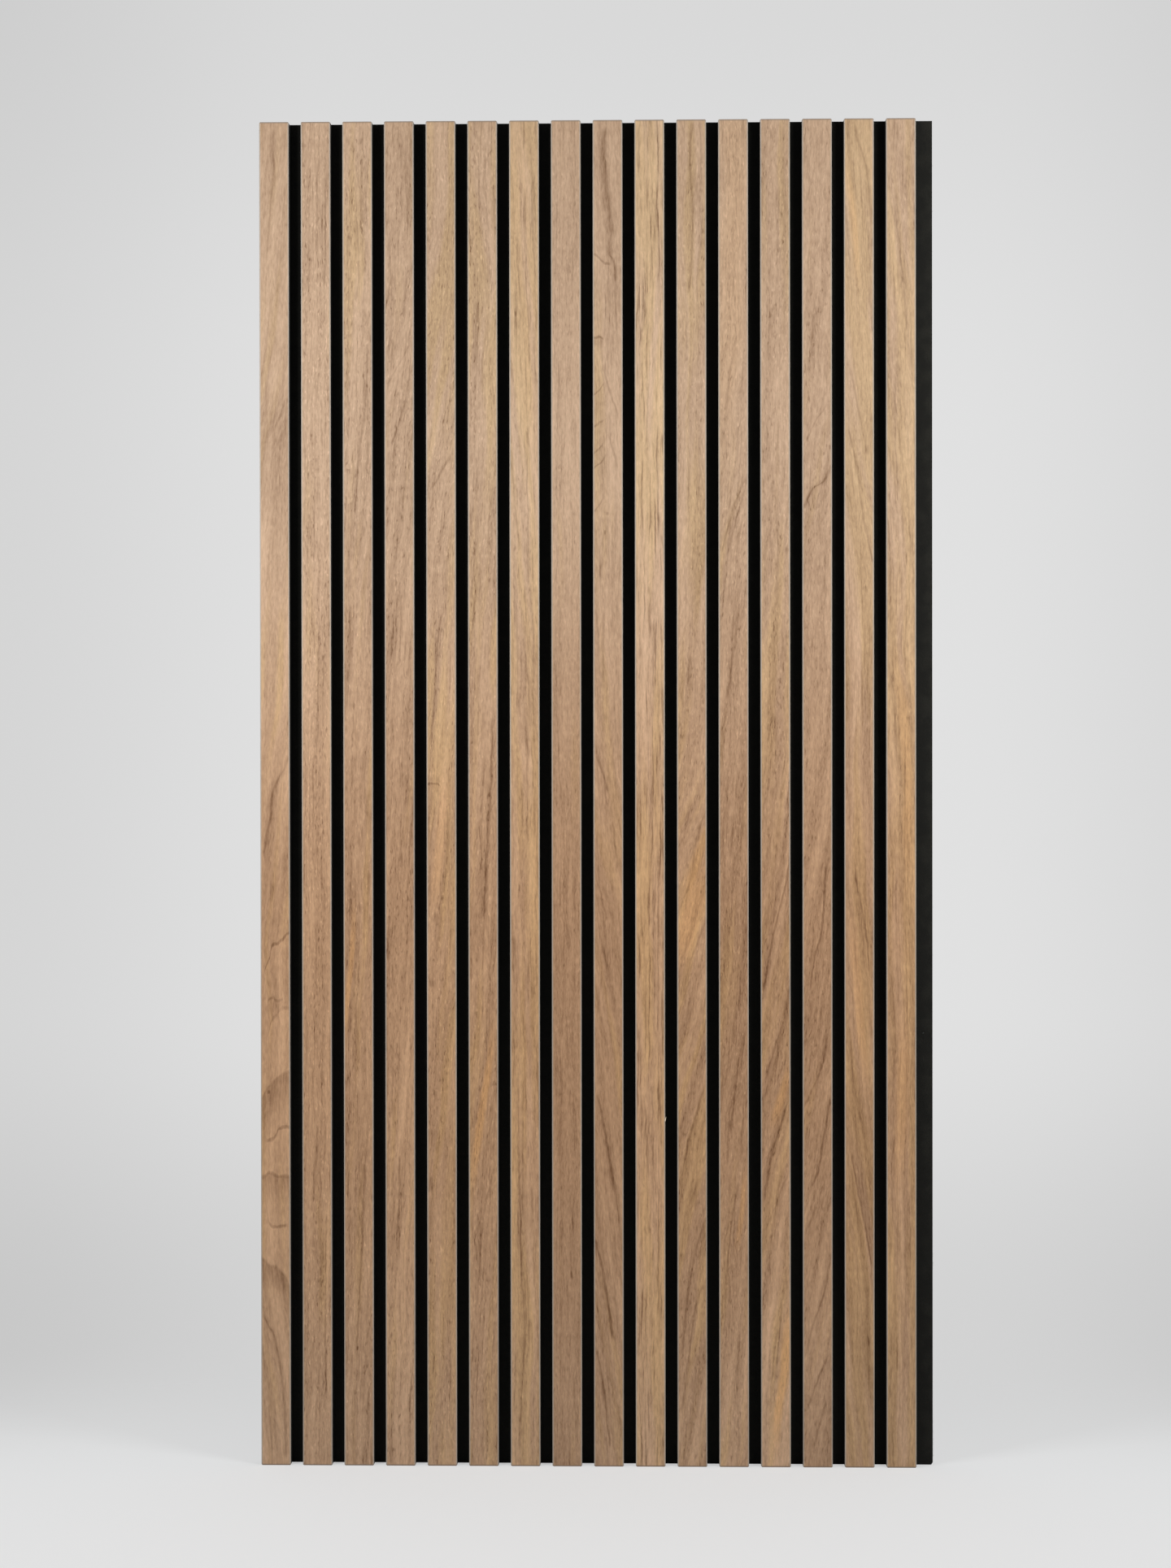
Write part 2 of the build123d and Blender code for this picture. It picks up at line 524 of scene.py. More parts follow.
# Each leaf has how dark it is at its foot and its head, how yellow, and how strong its fine lines, its
# growth rings, its pores and its wide bands are. A lean is the grain's slope, in mm sideways for each
# mm upwards, at a height. A shade is a stretch of the whole leaf: height, length, how dark. A streak
# runs with the grain: across, height, length, width, how dark, or how pale below nought. A glow is an
# amber streak. A thread is one line drawn up the leaf through points (height, across), with its width,
# how dark it is, and how dim the wood beside it. An arch is a growth ring drawn over the leaf through
# points (across, height), with its width, how dark it is, and the tone and depth of the wood under it.
leaves = [
    dict(
        dark=(0.32, 0.45), ochre=0.2, lines=0.45, rings=0.2, pores=0.4, bands=0.8,
        shades=[(900, 150, 0.11), (730, 320, -0.11), (546, 160, 0.05)],
        lean=[
            (0, -0.05), (50, -0.12), (90, -0.16), (140, -0.2), (190, -0.12), (240, 0.0), (500, 0.05),
            (580, 0.08), (610, 0.25), (650, 0.2), (700, 0.05), (880, 0.05), (930, 0.3), (1000, 0.12),
            (1200, 0.09)],
        streaks=[
            (-6.5, 1062, 26, 1.2, 0.22), (-3.0, 1000, 60, 3.0, 0.10), (3.3, 880, 14, 1.0, -0.35),
            (9.0, 540, 30, 3.0, 0.20), (-2.8, 513, 24, 3.0, 0.20), (-6.1, 334, 5, 1.6, 0.4),
            (4.0, 380, 60, 7.0, -0.10), (-6.0, 72, 120, 6.0, 0.10), (-4.5, 28, 60, 1.0, 0.35)],
        threads=[
            ([(1197, 0.9), (1175, -1.1), (1156, 0.4), (1134, -2.3), (1105, -4.5), (1080, -6.5)],
             1.0, 0.32, 0.08),
            ([(1070, 8.2), (1055, 4), (1042, 0.9)], 0.9, 0.20, 0),
            ([(955, 11), (951, 9.4), (938, 5), (926, -0.3), (920, -3)], 1.0, 0.38, 0.06),
            ([(640, 13), (632, 11.8), (610, 0.9), (598, -2.8), (581, -4), (562, -7.6), (542, -10.8)],
             1.1, 0.30, 0.12),
            ([(137, -12), (125, -6.8), (117, -2), (98, 2), (78, 5), (55, 7), (28, 8.4), (4, 8.6)],
             1.1, 0.40, 0.10)],
        arches=[
            ([(-10.3, 440), (-8.4, 447), (-4.8, 455), (-3.6, 464), (1.9, 467.6), (9.2, 473), (14, 476)],
             2.2, 0.40, -0.10, 50),
            ([(-7, 416.5), (-2, 418), (1.9, 415.4), (7.3, 420)], 2.0, 0.25, 0.08, 16),
            ([(-8, 380), (-5.4, 391.5), (-2.5, 399), (1.2, 403), (5.5, 408), (14, 408)],
             2.4, 0.22, -0.12, 24),
            ([(-14, 325), (-7.8, 335.7), (-1.7, 343), (4.1, 348), (10.4, 351.6), (14, 353)],
             2.4, 0.14, 0.34, 46),
            ([(-8, 290), (-3.2, 292), (0.4, 295.8), (1.9, 299.4), (4.1, 301.8), (14, 301.6)],
             2.5, 0.42, -0.06, 16),
            ([(-14, 258), (-7.6, 259.6), (-5.4, 262), (-1, 260.6), (4.1, 258.3), (14, 258)],
             2.5, 0.30, 0.26, 32),
            ([(-6.4, 222), (-5.8, 215.5), (-3, 213.4), (4, 213.2), (10, 214.4)], 2.2, 0.42, -0.08, 22),
            ([(-14, 187), (-9, 182), (-5.6, 178.6), (0.4, 177), (5.3, 172.6), (9, 167.7), (14, 155)],
             2.4, 0.10, 0.40, 30)],
    ),
    dict(
        dark=(0.40, 0.40), ochre=0.1, lines=1.1, rings=0.0, pores=1.3, bands=0.85,
        shades=[(690, 300, -0.10), (1120, 200, 0.06), (142, 110, -0.05)],
        lean=[(0, 0.03), (600, 0.0), (1200, 0.02)],
        streaks=[(5.0, 1105, 60, 0.8, 0.2), (-4.0, 1140, 90, 1.6, -0.12), (1.5, 60, 50, 0.9, 0.25)],
        threads=[
            ([(1165, 1.8), (1120, 1.2), (1085, 0.9)], 0.8, 0.28, 0.05),
            ([(1155, 9), (1100, 8.6), (1050, 8.2)], 0.8, 0.32, 0.05),
            ([(760, 3.2), (700, 1.6), (622, -0.3)], 0.8, 0.28, 0.04),
            ([(305, 0.8), (270, -1.6), (232, -4)], 0.9, 0.34, 0.05),
            ([(228, 8.6), (170, 7.3), (139, 7), (60, 7.7)], 0.9, 0.42, 0),
            ([(240, 10.4), (150, 9.2), (60, 9.8)], 1.2, -0.22, 0)],
    ),
    dict(
        dark=(0.42, 0.41), ochre=0.3, lines=0.9, rings=0.0, pores=1.1, bands=0.75,
        shades=[(809, 120, 0.06), (546, 240, 0.05), (256, 180, 0.07)],
        lean=[(0, 0.06), (500, 0.04), (800, 0.10), (950, 0.05), (1200, 0.02)],
        streaks=[
            (5.0, 1030, 50, 0.9, 0.2), (4.0, 585, 44, 2.2, -0.15), (-9.0, 255, 60, 0.9, 0.25),
            (-1.3, 105, 5, 1.3, 0.4), (-6.0, 34, 36, 4.0, 0.12)],
        threads=[
            ([(1131, 0), (1100, -1), (1078, -1.6)], 0.9, 0.25, 0.04),
            ([(1030, -7.4), (1010, -8.2), (985, -9.4)], 0.9, 0.28, 0),
            ([(1004, 8.9), (948, 6.9), (900, 0.9), (848, -3)], 1.1, 0.34, 0.08),
            ([(770, -6.9), (743, -7.6), (696, -8.9)], 1.3, 0.28, 0.10),
            ([(272, 5), (211, 3.3), (139, -0.3), (92, -2.9)], 0.9, 0.34, 0.04)],
        glows=[(-8.5, 440, 160, 4.0, 0.7)],
    ),
    dict(
        dark=(0.33, 0.45), ochre=0.15, lines=0.9, rings=0.1, pores=1.1, bands=0.85,
        shades=[(1142, 130, 0.06), (500, 400, 0.07), (90, 260, -0.08)],
        lean=[
            (0, 0.04), (500, 0.08), (800, 0.12), (890, 0.13), (950, 0.28), (1000, 0.24), (1060, 0.1),
            (1200, 0.02)],
        streaks=[(8.7, 60, 50, 0.9, 0.22)],
        threads=[
            ([(1069, -5), (1047, -9), (1030, -12.4)], 1.0, 0.32, 0.05),
            ([(1008, 11.5), (999, 8), (985, 0.5), (970, -7.9), (960, -11.5)], 1.0, 0.28, 0),
            ([(957, 7.5), (946, 4.3), (926, -1.8), (908, -9.4)], 1.0, 0.46, 0.06),
            ([(765, -6.4), (699, -5.2), (640, -7.8)], 1.4, 0.12, 0.04),
            ([(395, 9.4), (350, 5), (308, 0.9), (264, -4.3)], 2.6, -0.20, 0),
            ([(360, -6.4), (335, -7), (312, -7.8)], 0.9, 0.32, 0.05),
            ([(292, 0.8), (235, -1.5), (184, -0.3)], 0.9, 0.32, 0.04)],
    ),
    dict(
        dark=(0.36, 0.41), ochre=0.6, lines=0.8, rings=0.1, pores=1.2, bands=0.85,
        shades=[(1060, 300, 0.06), (670, 300, -0.08), (256, 160, 0.08)],
        lean=[
            (0, 0.02), (500, 0.10), (700, 0.06), (820, 0.12), (870, 0.30), (910, 0.26), (980, 0.18),
            (1060, 0.1), (1200, 0.05)],
        streaks=[
            (8.7, 1125, 100, 0.8, 0.22), (-5.5, 491, 12, 3.2, 0.22), (-9.4, 431, 8, 3.6, 0.35),
            (-5.9, 333, 12, 2.6, 0.35), (-7.6, 292, 24, 3.0, 0.22), (-10.0, 252, 18, 3.0, 0.28),
            (7.0, 62, 70, 1.0, 0.35), (-7.6, 90, 30, 1.0, 0.3)],
        threads=[
            ([(906, 10.5), (902, 8.6), (891, 2), (880, -3.5), (870, -11.2)], 1.1, 0.42, 0.06),
            ([(862, 9.4), (845, 4), (823, -1.4)], 1.0, 0.22, 0),
            ([(765, 4), (743, -2.8), (699, -5.2), (668, -7.6), (646, -10.2)], 0.9, 0.40, 0.05),
            ([(590, -5.6), (570, -8), (547, -11)], 0.9, 0.32, 0)],
        arches=[([(-14, 607), (-8, 610), (-1, 606.5)], 1.6, 0.36, 0.06, 10)],
        glows=[(-1.0, 560, 160, 7.0, 0.35)],
    ),
    dict(
        dark=(0.40, 0.41), ochre=0.5, lines=0.9, rings=0.1, pores=1.1, bands=0.85,
        shades=[(558, 110, -0.05), (475, 80, 0.05)],
        lean=[(0, 0.03), (330, 0.12), (500, 0.05), (600, 0.03), (850, 0.10), (1000, 0.0), (1200, -0.03)],
        streaks=[
            (3.3, 1145, 120, 1.1, 0.25), (-3.0, 1150, 100, 0.8, 0.2), (-9.8, 247, 8, 1.2, 0.45),
            (-2.0, 150, 80, 1.0, 0.3), (-5.8, 80, 70, 0.9, 0.3)],
        threads=[
            ([(1040, -3.8), (1033, -4), (987, -6.4), (975, -6.8)], 1.6, 0.30, 0.06),
            ([(672, 8.3), (610, 6.9), (549, 3.3), (484, 0.7)], 1.1, 0.34, 0.08),
            ([(252, 5.9), (211, -1.5), (160, -4.2)], 0.9, 0.32, 0.04),
            ([(191, 9.6), (165, 8.5), (136, 6.7)], 0.9, 0.34, 0)],
        glows=[(-1.0, 320, 190, 5.0, 0.75)],
    ),
    dict(
        dark=(0.32, 0.38), ochre=0.65, lines=1.4, rings=0.0, pores=0.7, bands=0.85,
        shades=[(836, 320, -0.12), (401, 160, 0.06)],
        lean=[(0, 0.0), (500, -0.02), (700, -0.05), (900, -0.08), (1100, -0.10), (1200, -0.03)],
        streaks=[
            (-7.6, 1028, 7, 1.3, 0.5), (-4.5, 516, 10, 1.1, 0.45), (2.8, 281, 14, 1.1, 0.5),
            (-4.0, 195, 110, 0.9, 0.3), (3.0, 120, 34, 0.9, 0.3)],
        threads=[
            ([(1182, 6.4), (1140, 6.8), (1102, 7)], 0.8, 0.26, 0),
            ([(1062, -8.6), (1025, -6.9), (946, -7.7)], 0.8, 0.28, 0),
            ([(992, 0.3), (900, 4.5), (836, 8.4)], 0.8, 0.26, 0),
            ([(905, -12), (851, -7.6), (812, -3.8)], 0.9, 0.32, 0),
            ([(768, -7), (735, -6.8), (704, -6.4)], 0.8, 0.32, 0),
            ([(640, 5.4), (560, 5.2), (480, 4.9)], 1.3, -0.25, 0),
            ([(608, -2.1), (585, -2), (565, -2)], 0.9, 0.36, 0)],
        glows=[(0.0, 1060, 500, 16.0, 0.15)],
    ),
    dict(
        dark=(0.51, 0.45), ochre=0.0, lines=0.8, rings=0.0, pores=0.7, bands=0.5,
        shades=[(870, 420, -0.08), (58, 130, -0.05)],
        lean=[(0, 0.0), (1200, 0.0)],
        streaks=[
            (-3.0, 985, 20, 1.0, 0.2), (5.0, 215, 30, 1.1, 0.4), (4.0, 171, 10, 1.3, 0.5),
            (3.0, 110, 24, 1.0, 0.3)],
    ),
    dict(
        dark=(0.45, 0.43), ochre=0.2, lines=0.7, rings=0.2, pores=0.4, bands=0.9,
        shades=[(691, 260, -0.10), (900, 300, -0.06), (58, 150, -0.06)],
        lean=[
            (0, -0.15), (90, -0.18), (190, -0.19), (320, -0.14), (600, -0.2), (650, -0.1), (800, 0.02),
            (1000, -0.02), (1080, -0.08), (1200, -0.05)],
        streaks=[
            (7.0, 1030, 50, 0.9, 0.3), (-2.2, 1041, 14, 1.0, 0.5), (-1.7, 1029, 16, 0.9, 0.35),
            (1.8, 1022, 14, 0.9, 0.35), (4.0, 870, 90, 4.0, -0.14), (-0.7, 850, 4, 1.4, 0.45),
            (-2.9, 833, 6, 1.3, 0.5), (-6.7, 800, 24, 1.6, 0.35)],
        threads=[
            ([(1196, -2.2), (1171, -3.1), (1156, -2.5), (1131, 0), (1110, 2.4), (1095, 4.7)],
             1.8, 0.44, 0.16),
            ([(1100, 4), (1084, 1.6), (1076, 4.5), (1066, 6.7), (1054, 5.8)], 1.0, 0.40, 0.08),
            ([(990, -1.2), (976, -2.4), (966, 0.1), (953, 3.8), (940, 8), (930, 10)], 0.9, 0.42, 0),
            ([(924, -0.8), (912, 3.1), (901, 6.2), (886, 9.5)], 0.9, 0.34, 0),
            ([(765, -2.9), (730, -4.4), (692, -3.8)], 1.0, 0.30, 0.05),
            ([(647, -12.4), (639, -10.8), (625, -7), (612, -2.8), (598, -0.6)], 1.3, 0.34, 0.08),
            ([(522, -9.4), (505, -5), (486, -1)], 1.0, 0.26, 0),
            ([(480, -9.4), (460, -4), (438, 1.2)], 1.0, 0.26, 0),
            ([(335, -10.6), (296, -2.8), (245, 4.8)], 1.2, 0.38, 0.08),
            ([(220, -0.6), (190, 3.4), (160, 7.2)], 0.9, 0.26, 0),
            ([(208, -13), (204, -12.4), (180, -6.4), (160, -2.8), (112, 3.6)], 1.3, 0.52, 0.10),
            ([(108, -12), (71, -5.2), (14, 1.3)], 1.1, 0.45, 0.08)],
        arches=[
            ([(-14, 1082), (-7.9, 1077), (-1.8, 1073.4), (2.6, 1072)], 1.9, 0.38, -0.12, 30),
            ([(-14, 1007.4), (-8, 1007), (-3.6, 1006.5)], 1.5, 0.44, 0.20, 14),
            ([(-14, 954), (-8, 960), (-3.5, 966)], 1.6, 0.34, 0, 10),
            ([(-14, 926), (-8, 930), (-3.5, 933)], 1.6, 0.30, 0, 10),
            ([(-14, 902), (-8, 907), (-4, 911.5)], 1.6, 0.32, 0, 10),
            ([(-14, 889), (-7, 895), (-2.3, 901)], 1.6, 0.34, 0.05, 12),
            ([(-14, 851), (-8, 857), (-4, 864)], 1.6, 0.28, 0, 10)],
    ),
    dict(
        dark=(0.24, 0.32), ochre=0.7, lines=2.3, rings=0.0, pores=0.5, bands=0.25,
        shades=[(820, 560, -0.09), (180, 300, -0.05)],
        lean=[(0, 0.02), (1200, 0.0)],
        streaks=[
            (1.0, 1105, 40, 0.9, 0.3), (-1.0, 782, 10, 1.2, 0.4), (2.0, 840, 50, 0.8, 0.3),
            (3.0, 720, 70, 0.8, 0.25), (12.5, 608, 4, 1.5, 0.5)],
        threads=[
            ([(1192, -8.4), (900, -8.8), (600, -8.6), (5, -7.6)], 0.8, 0.16, 0),
            ([(1192, -2.2), (700, -1.4), (5, 0.8)], 0.8, 0.15, 0),
            ([(1192, 3.4), (600, 2.6), (5, 3.6)], 0.8, 0.15, 0),
            ([(1192, 8), (600, 7.2), (5, 8.6)], 0.8, 0.16, 0)],
    ),
    dict(
        dark=(0.38, 0.42), ochre=0.5, lines=0.6, rings=0.4,
        shades=[
            (1142, 130, 0.05), (620, 300, -0.04), (558, 100, 0.08), (475, 90, -0.11), (392, 90, 0.07),
            (225, 130, 0.08)],
        lean=[
            (0, 0.14), (250, 0.2), (380, 0.28), (500, 0.34), (600, 0.3), (680, 0.12), (800, 0.0),
            (1000, 0.03), (1200, -0.02)],
        streaks=[(1.0, 815, 50, 0.9, 0.25), (-3.0, 585, 28, 2.2, 0.25), (2.3, 243, 28, 7.0, 0.24)],
        threads=[
            ([(1198, 0), (1158, -1), (1117, 1.4), (1081, 0.4), (1044, -3)], 1.0, 0.42, 0.08),
            ([(726, -0.1), (712, -2.6), (692, -4)], 1.0, 0.32, 0.05),
            ([(650, 11.2), (620, 8), (569, -6.6)], 0.9, 0.20, 0),
            ([(577, 8.4), (571, 7.2), (547, 2.3), (530, 0.9), (515, -4), (503, -8.8), (494, -11.4)],
             1.1, 0.32, 0),
            ([(491, 6.8), (487, 6), (446, -7.4), (424, -10.2)], 1.6, -0.20, 0),
            ([(494, 13), (489, 12), (446, -2.5), (414, -8.8)], 1.0, 0.30, 0.05),
            ([(340, 11.4), (301, -0.1), (267, -7.8)], 1.0, 0.34, 0.06),
            ([(224, 12.6), (163, -2.5), (100, -8.8)], 1.0, 0.32, 0.05),
            ([(166, 11.6), (139, 2.3), (102, -2.5), (50, -9)], 1.0, 0.38, 0.06)],
        glows=[(7.0, 545, 90, 7.0, 0.5), (0.0, 492, 130, 15.0, 0.62)],
    ),
    dict(
        dark=(0.45, 0.45), ochre=0.2, lines=0.9, rings=0.2, bands=0.85,
        shades=[(500, 460, 0.08), (308, 120, 0.08), (60, 300, -0.14)],
        lean=[
            (0, 0.08), (300, 0.12), (400, 0.14), (600, 0.05), (760, 0.1), (840, 0.22), (920, 0.1),
            (1000, 0.05), (1200, 0.02)],
        streaks=[
            (9.0, 812, 34, 3.0, -0.15), (-1.8, 563, 46, 2.2, 0.26), (8.0, 370, 60, 1.1, 0.3),
            (5.5, 262, 5, 1.8, -0.35), (3.0, 100, 70, 2.0, 0.24)],
        threads=[
            ([(1197, -2.9), (1184, -3.1), (1169, -3)], 0.9, 0.28, 0),
            ([(884, 12.4), (859, 1.8), (840, -4), (812, -10.8)], 1.0, 0.32, 0.05),
            ([(868, 8.8), (845, 3), (812, -5.8)], 1.0, 0.26, 0),
            ([(800, -6.4), (785, -7.8), (770, -9.2)], 0.9, 0.26, 0),
            ([(770, 5.7), (738, 1.8), (714, -1.8), (684, -5.7)], 1.1, 0.30, 0.06),
            ([(390, 9.4), (344, 1.8), (294, -3.2)], 1.0, 0.32, 0.05),
            ([(258, 4.6), (187, -5.4), (145, -8)], 0.9, 0.32, 0.05)],
        glows=[(7.0, 230, 90, 3.0, 0.6), (0.0, 1080, 500, 16.0, 0.2)],
    ),
    dict(
        dark=(0.38, 0.44), ochre=0.4, lines=0.4, rings=0.3,
        shades=[(1142, 130, 0.07), (480, 400, 0.12), (60, 300, -0.13)],
        lean=[(0, 0.08), (150, 0.1), (300, 0.24), (500, 0.20), (600, 0.08), (700, 0.03), (1200, 0.03)],
        streaks=[(-3.5, 1187, 12, 1.1, 0.4), (4.0, 130, 130, 1.2, 0.3)],
        threads=[
            ([(1036, -3.4), (1000, -6), (982, -7.2)], 1.0, 0.30, 0.05),
            ([(674, -2), (634, -8.3), (608, -11)], 0.9, 0.24, 0),
            ([(548, 13), (530, 11), (499, 3.8), (479, -1), (424, -11)], 1.0, 0.40, 0.08),
            ([(545, 11), (528, 9), (497, 2), (477, -2.8), (440, -9.6)], 0.9, -0.22, 0),
            ([(399, 7), (373, -1), (342, -10.4)], 0.9, 0.32, 0.05),
            ([(328, 11.6), (303, 3.8), (279, -3.5), (233, -11)], 1.0, 0.42, 0.08),
            ([(263, 11.6), (235, 0.2), (209, -10)], 0.9, 0.24, 0),
            ([(122, 0.4), (100, -1.8), (75, -3.7)], 0.9, 0.28, 0)],
        glows=[(5.0, 330, 70, 6.0, 0.7), (5.0, 80, 170, 6.0, 0.85)],
    ),
    dict(
        dark=(0.44, 0.46), ochre=0.1, lines=0.4, rings=0.3, pores=0.9, bands=0.8,
        shades=[(392, 110, 0.05)],
        lean=[
            (0, 0.13), (150, 0.18), (300, 0.24), (400, 0.2), (520, 0.18), (700, 0.05), (840, 0.10),
            (890, 0.18), (950, 0.1), (1100, 0.08), (1200, 0.04)],
        streaks=[
            (4.0, 1170, 70, 0.9, 0.25), (-2.0, 1010, 70, 2.0, 0.12), (7.0, 905, 46, 4.0, -0.15),
            (-4.0, 735, 14, 1.4, 0.4)],
        threads=[
            ([(1156, -2.4), (1140, -6), (1120, -11.6)], 0.9, 0.22, 0),
            ([(1049, -1.3), (1010, -4.2), (973, -7.8)], 1.2, 0.26, 0.06),
            ([(950, 9.4), (946, 8.2), (931, -1.5), (909, -11.4)], 0.9, 0.30, 0),
            ([(894, 13), (890, 11.8), (878, 5.7), (871, -4), (850, -12.6)], 1.3, 0.42, 0.10),
            ([(540, 8), (500, 5.6), (475, 3.1), (459, -1.3), (443, -4.2), (425, -6.5)], 1.0, 0.36, 0.06),
            ([(545, 6.2), (500, 3.8), (480, 2), (462, -2)], 0.8, -0.20, 0),
            ([(387, 9.2), (356, 3.3), (334, -6.4), (320, -11.8)], 1.0, 0.34, 0.05),
            ([(334, 12.2), (296, 5.7), (267, 0.9), (246, -9.2)], 1.1, 0.42, 0.08),
            ([(262, 9), (226, -4), (209, -10.4)], 0.9, 0.28, 0),
            ([(194, 12.2), (156, 5.7), (127, -4), (95, -11.8)], 1.0, 0.40, 0.06),
            ([(104, 11), (74, -1.5), (52, -9.2)], 1.0, 0.38, 0.06),
            ([(63, 8.6), (40, 2), (15, -4.4)], 1.0, 0.34, 0.05)],
    ),
    dict(
        dark=(0.44, 0.40), ochre=0.6, lines=0.8, rings=0.4, pores=0.5,
        shades=[(270, 220, 0.12)],
        lean=[
            (0, -0.06), (250, -0.1), (350, -0.12), (480, -0.08), (650, 0.02), (760, -0.05), (860, -0.2),
            (930, -0.1), (1080, -0.1), (1200, -0.05)],
        streaks=[
            (6.0, 782, 9, 2.2, 0.35), (7.0, 680, 150, 3.0, 0.16), (7.0, 465, 110, 1.1, 0.3),
            (-8.0, 85, 150, 3.0, -0.12), (7.7, 113, 12, 1.1, 0.5)],
        threads=[
            ([(1197, -3.4), (1187, -2), (1149, 7.7), (1112, 10.6), (1080, 12)], 1.2, 0.32, 0.08),
            ([(1089, -5.9), (1057, -2), (1040, 0.5)], 0.9, 0.22, 0),
            ([(983, -8.2), (948, -2), (926, 2.8), (898, 8)], 1.0, 0.34, 0.05),
            ([(928, -11), (890, -2), (854, 2.8), (803, 12.8)], 1.0, 0.38, 0.06),
            ([(722, 2.9), (690, 2.6), (655, 2.8)], 0.9, 0.26, 0),
            ([(533, -4.8), (494, 2.8), (462, 8)], 1.0, 0.34, 0.05),
            ([(383, -8.2), (342, -4.5), (305, 1.9)], 1.1, 0.34, 0.06),
            ([(286, -9.6), (247, -3.2), (204, 5.2), (172, 10.2)], 0.9, -0.22, 0),
            ([(283, -7.8), (247, -1.4), (204, 7), (175, 11)], 0.9, 0.28, 0.04)],
        glows=[(-6.0, 1110, 150, 5.0, 0.5), (-2.0, 420, 200, 6.0, 0.4)],
    ),
    dict(
        dark=(0.385, 0.41), ochre=0.75, lines=0.9, rings=0.1, pores=0.5,
        shades=[(975, 150, 0.06), (400, 300, 0.05)],
        lean=[(0, 0.02), (500, -0.02), (850, -0.08), (1100, -0.06), (1200, -0.03)],
        streaks=[
            (4.7, 809, 14, 0.9, 0.5), (8.7, 700, 100, 0.9, -0.22), (4.6, 525, 150, 0.8, -0.2),
            (4.5, 440, 110, 0.8, 0.3), (-4.0, 103, 36, 1.1, 0.3)],
        threads=[
            ([(1198, -3.8), (1190, -3.2), (1178, -2.4)], 0.9, 0.36, 0.05),
            ([(1125, -6.4), (1086, -1.3), (1052, 2.3), (1010, 5)], 1.0, 0.30, 0.05),
            ([(963, -7.6), (925, -2.4), (885, 2.6)], 0.9, 0.24, 0),
            ([(722, -7.5), (706, -7.4), (690, -7.4)], 0.9, 0.28, 0),
            ([(662, 3.6), (600, 3.3), (546, 3.5)], 0.8, 0.32, 0),
            ([(328, 6.9), (310, 8.6), (286, 11)], 0.9, 0.32, 0),
            ([(299, -6.2), (280, -6.3), (257, -6.2)], 1.0, 0.32, 0),
            ([(202, 3.5), (188, 3.4), (172, 3.6)], 0.9, 0.32, 0)],
        glows=[(4.0, 620, 260, 6.0, 0.5), (0.0, 330, 200, 8.0, 0.4)],
    ),
]


def lean_at(course, height):
    """The grain's lean at one height."""
    for (low, low_lean), (high, high_lean) in zip(course, course[1:]):
        if height <= high:
            return low_lean + (high_lean - low_lean) * (height - low) / (high - low)
    return course[-1][1]


def drift_points(course):
    """The grain's place sideways at even steps of height, added up from its lean."""
    points, drift, height = [(0.0, 0.0)], 0.0, 0.0
    while height < panel_height * mm_per_metre - 1:
        drift += lean_at(course, height + course_step / 2) * course_step
        height += course_step
        points.append((height, drift))
    return points


def drift_at(points, height):
    """The grain's place sideways at one height."""
    number = min(int(height // course_step), len(points) - 2)
    (low, low_drift), (_, high_drift) = points[number], points[number + 1]
    return low_drift + (high_drift - low_drift) * (height - low) / course_step


def drawn_curve(tree, value, points):
    """A smooth curve through points, read at a value."""
    first, last = points[0][0], points[-1][0]
    low = min(level for _, level in points)
    span = max(level for _, level in points) - low or 1.0
    share = math_step(tree, "DIVIDE", math_step(tree, "SUBTRACT", value, first), last - first)
    node = add_node(tree, "ShaderNodeFloatCurve", {"Value": share})
    curve = node.mapping.curves[0]
    curve.points[0].location = (0.0, (points[0][1] - low) / span)
    curve.points[-1].location = (1.0, (points[-1][1] - low) / span)
    for spot, level in points[1:-1]:
        curve.points.new((spot - first) / (last - first), (level - low) / span)
    node.mapping.update()
    return math_step(tree, "MULTIPLY_ADD", node.outputs[0], span, low)


def grain_noise(tree, number, across, height, name):
    """One of the wood's patterns, between 0 and 1, in streaks of its own width and length."""
    seed, width, length, detail, roughness = grain_patterns[name]
    vector = add_node(tree, "ShaderNodeCombineXYZ", {
        "X": math_step(tree, "DIVIDE", across, width),
        "Y": number * leaf_shift + seed,
        "Z": math_step(tree, "DIVIDE", height, length),
    })
    return noise(tree, vector.outputs[0], detail=detail, roughness=roughness)


def about_nought(tree, value, amount):
    """Turns a pattern between 0 and 1 into one about nought, of a given strength."""
    return math_step(tree, "MULTIPLY_ADD", value, 2 * amount, -amount)


def add_share(tree, so_far, pattern, share):
    """Adds a share of a pattern to what there is so far."""
    return math_step(tree, "MULTIPLY_ADD", pattern, share, so_far)


def stretch(tree, value, first, second):
    """What comes on over the first pair of levels, where it has also come on over the second."""
    return math_step(tree, "MULTIPLY", ramp(tree, value, *first), ramp(tree, value, *second))


def bar(tree, value, middle, reach):
    """One at the middle, falling smoothly to nought at the reach on either side."""
    off = math_step(tree, "ABSOLUTE", math_step(tree, "SUBTRACT", value, middle))
    return ramp(tree, off, reach, reach * bar_flat)


def streak_mask(tree, lane, height, points, streak):
    """Where one streak lies, a long narrow lens that runs with the grain, and how strong it is."""
    across, level, length, width, strength = streak
    shape = bar(tree, lane, across - drift_at(points, level), width)
    return math_step(tree, "MULTIPLY", shape, bar(tree, height, level, length / 2)), strength


